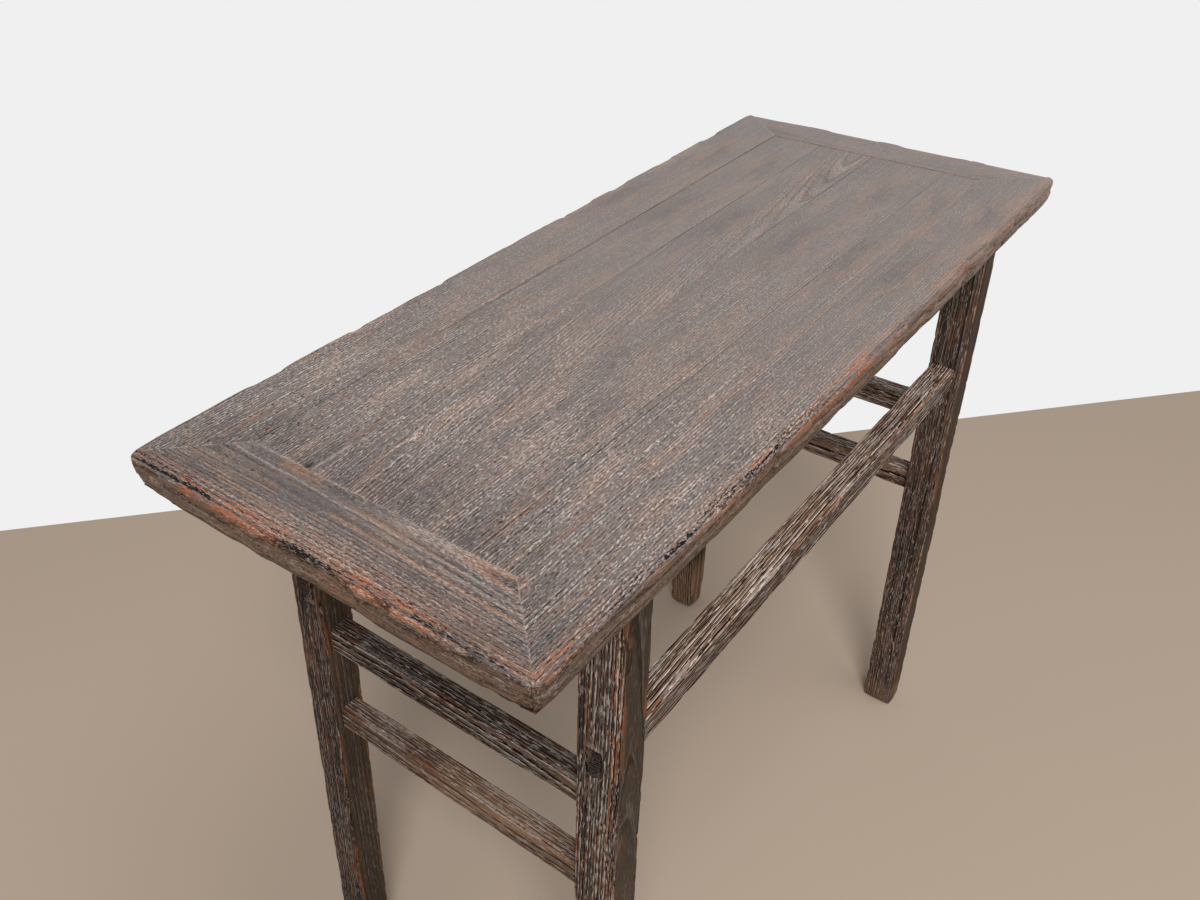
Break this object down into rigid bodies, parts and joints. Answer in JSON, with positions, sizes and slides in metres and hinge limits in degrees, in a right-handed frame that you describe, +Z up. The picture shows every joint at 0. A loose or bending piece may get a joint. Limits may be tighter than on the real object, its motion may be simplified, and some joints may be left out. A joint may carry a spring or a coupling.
{
  "type": "chinese altar table",
  "caption": "Recessed-leg altar table of solid wood: mitred frame top with a floating board panel on outward-leaning legs, tied by side and end stretchers.",
  "frame": {"origin": "on the floor, under the middle of the table top", "axes": "+X along the table's length, +Y from front to back across its depth, +Z up"},
  "size_m": [1.075, 0.44, 0.85],
  "materials": {
    "frame_wood": "worn waxed hardwood",
    "panel_wood": "worn waxed hardwood, greyed",
    "batten_wood": "dry unfinished wood",
    "leg_wood": "worn open-grained hardwood",
    "stretcher_wood": "worn dark hardwood"
  },
  "bodies": {
    "root": {"top_long_rail_front": "frame_wood", "top_long_rail_back": "frame_wood", "top_end_rail_left": "frame_wood", "top_end_rail_right": "frame_wood", "panel_plank_1": "panel_wood", "panel_plank_2": "panel_wood", "panel_plank_3": "panel_wood", "panel_plank_4": "panel_wood", "panel_batten_1": "batten_wood", "panel_batten_2": "batten_wood", "panel_batten_3": "batten_wood", "leg_front_left": "leg_wood", "leg_front_right": "leg_wood", "leg_back_left": "leg_wood", "leg_back_right": "leg_wood", "front_long_stretcher": "stretcher_wood", "back_long_stretcher": "stretcher_wood", "left_upper_stretcher": "stretcher_wood", "left_lower_stretcher": "stretcher_wood", "right_upper_stretcher": "stretcher_wood", "right_lower_stretcher": "stretcher_wood"}
  },
  "joints": []
}
